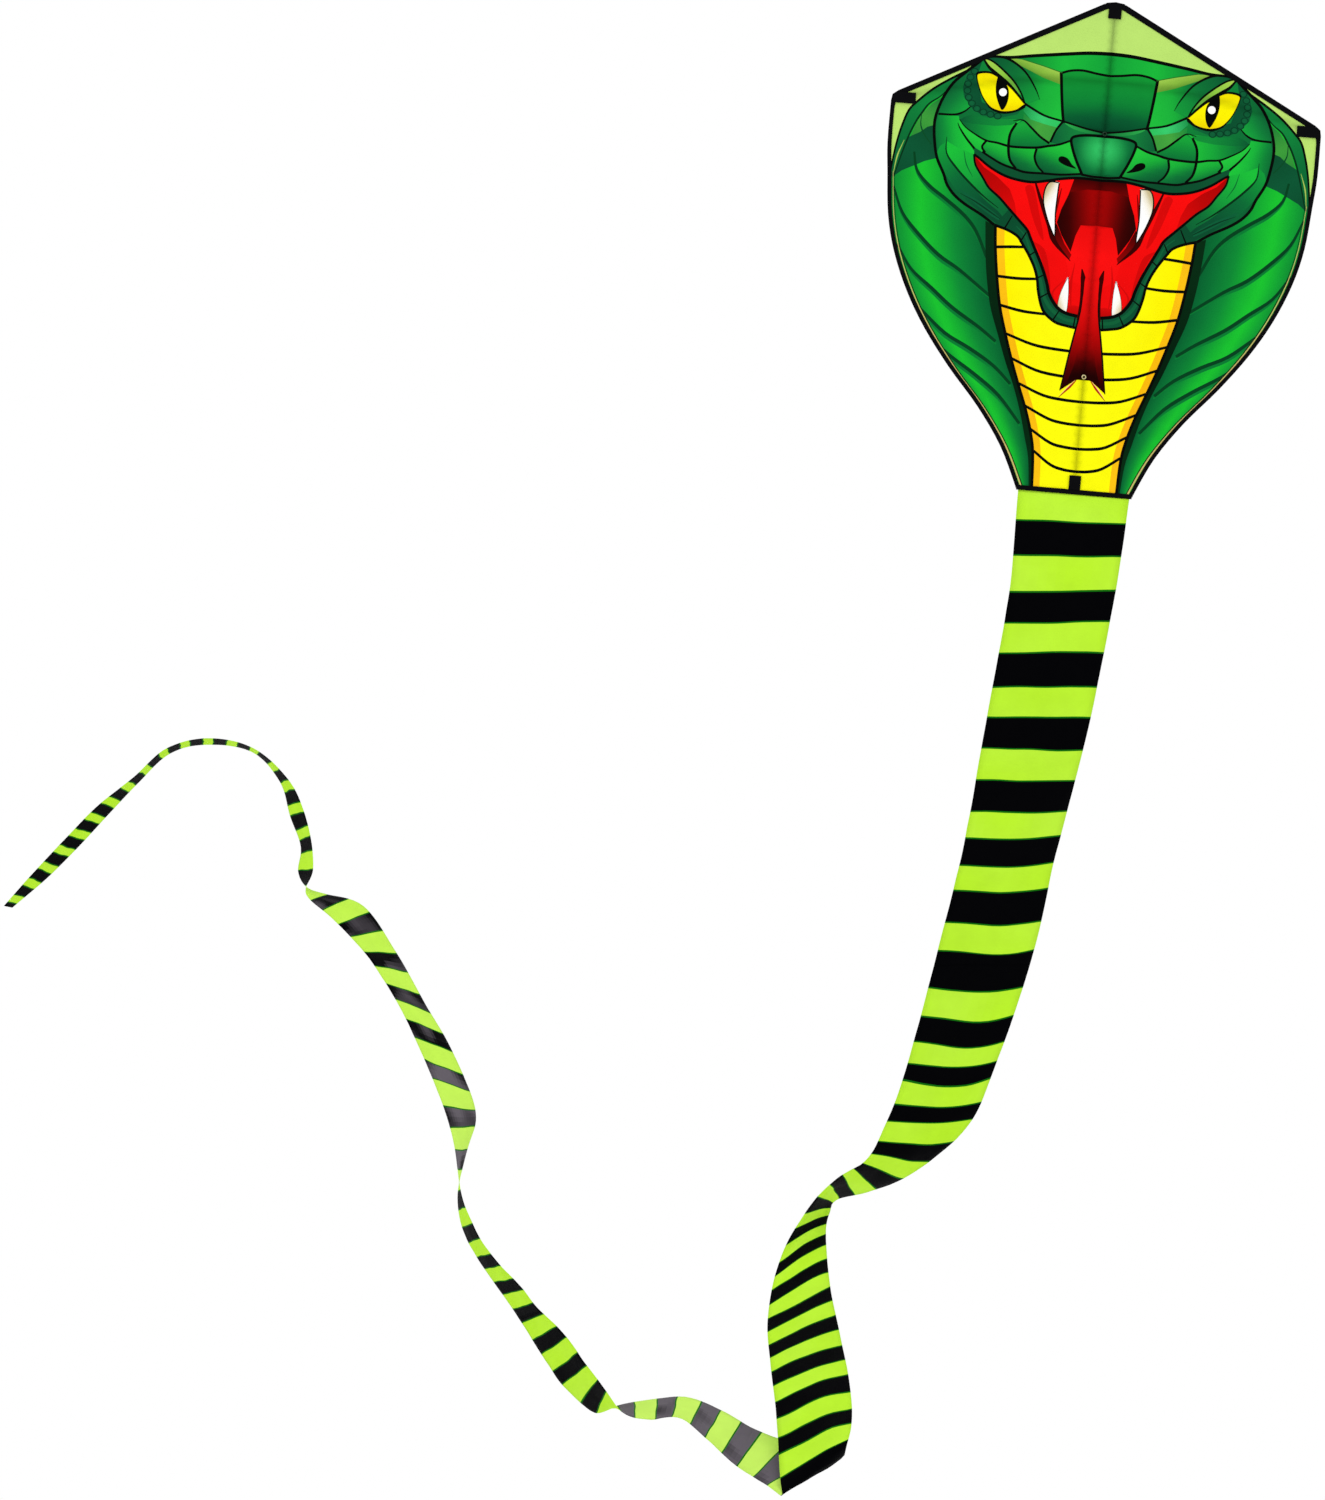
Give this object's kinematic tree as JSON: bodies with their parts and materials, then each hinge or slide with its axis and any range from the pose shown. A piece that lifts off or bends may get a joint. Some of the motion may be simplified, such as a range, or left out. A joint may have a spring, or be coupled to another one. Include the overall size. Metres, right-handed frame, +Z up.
{
  "type": "single-line kite",
  "caption": "Cobra-head diamond kite: printed sail on a spine and bowed cross spar, with a long striped ribbon tail.",
  "frame": {"origin": "front of the sail at the upper bridle eyelet, on the spine line, where the flying line holds the kite", "axes": "+Z up the spine to the nose, the printed front faces -Y, +X to the right as seen from the front"},
  "size_m": [2.1707, 1.3506, 2.39],
  "materials": {
    "sail_cloth": "printed ripstop polyester, satin",
    "tail_cloth": "striped lightweight polyester, satin",
    "black_tape": "woven black webbing and edge tape",
    "rod": "glass-fibre rod, dark, satin",
    "fitting": "moulded plastic and vinyl tube",
    "bright_metal": "plated ferrule and eyelets"
  },
  "bodies": {
    "spine_frame": {"centre_fitting": "fitting", "foot_hem": "black_tape", "foot_pocket": "black_tape", "foot_square": "black_tape", "lower_bridle_eyelet": "bright_metal", "lower_bridle_patch": "black_tape", "nose_pocket": "black_tape", "nose_square": "black_tape", "nose_tape": "black_tape", "sail_middle": "sail_cloth", "spine_ferrule": "bright_metal", "spine_keeper_1": "black_tape", "spine_keeper_2": "black_tape", "spine_keeper_3": "black_tape", "spine_keeper_4": "black_tape", "spine_rod_lower": "rod", "spine_rod_upper": "rod", "upper_bridle_eyelet": "bright_metal", "upper_bridle_patch": "black_tape"},
    "left_wing": {"sail_left": "sail_cloth", "shoulder_tape_left": "black_tape", "side_tape_left": "black_tape", "spar_rod_left": "rod", "spar_sleeve_left": "fitting", "tip_pocket_left": "black_tape", "tip_square_left": "black_tape"},
    "right_wing": {"sail_right": "sail_cloth", "shoulder_tape_right": "black_tape", "side_tape_right": "black_tape", "spar_rod_right": "rod", "spar_sleeve_right": "fitting", "tip_pocket_right": "black_tape", "tip_square_right": "black_tape"},
    "tail_1": {"tail_length_01": "tail_cloth", "tail_length_02": "tail_cloth"},
    "tail_2": {"tail_length_03": "tail_cloth", "tail_length_04": "tail_cloth"},
    "tail_3": {"tail_length_05": "tail_cloth", "tail_length_06": "tail_cloth"},
    "tail_4": {"tail_length_07": "tail_cloth", "tail_length_08": "tail_cloth"},
    "tail_5": {"tail_length_09": "tail_cloth", "tail_length_10": "tail_cloth"},
    "tail_6": {"tail_length_11": "tail_cloth", "tail_length_12": "tail_cloth", "tail_length_13": "tail_cloth"}
  },
  "joints": [
    {"name": "right_wing_fold", "type": "hinge", "parent": "spine_frame", "child": "right_wing", "pos_m": [0.03717, -0.0012, 0], "axis": [0.0975, 0, -0.9952], "range_deg": [0, 88]},
    {"name": "left_wing_fold", "type": "hinge", "parent": "spine_frame", "child": "left_wing", "pos_m": [-0.03717, -0.0012, 0], "axis": [0.0975, 0, 0.9952], "range_deg": [0, 88]},
    {"name": "tail_root", "type": "hinge", "parent": "spine_frame", "child": "tail_1", "pos_m": [0, 0, -0.5925], "axis": [1, 0, 0], "range_deg": [-25, 25]},
    {"name": "tail_bend_1", "type": "hinge", "parent": "tail_1", "child": "tail_2", "pos_m": [-0.2405, 0.23, -1.761], "axis": [0.2871, 0.9021, -0.3221], "range_deg": [-15, 15]},
    {"name": "tail_bend_2", "type": "hinge", "parent": "tail_2", "child": "tail_3", "pos_m": [-0.312, -0.445, -2.145], "axis": [0.7485, 0.4614, 0.4763], "range_deg": [-18, 10]},
    {"name": "tail_bend_3", "type": "hinge", "parent": "tail_3", "child": "tail_4", "pos_m": [-0.61, -0.23, -2.102], "axis": [-0.0566, 0.9968, -0.0566], "range_deg": [-15, 15]},
    {"name": "tail_bend_4", "type": "hinge", "parent": "tail_4", "child": "tail_5", "pos_m": [-0.909, 0.16, -1.8285], "axis": [-0.0906, 0.9813, -0.1699], "range_deg": [-15, 15]},
    {"name": "tail_bend_5", "type": "hinge", "parent": "tail_5", "child": "tail_6", "pos_m": [-1.2335, 0.47, -1.3565], "axis": [-0.0445, 0.9989, -0.0148], "range_deg": [-20, 20]}
  ]
}
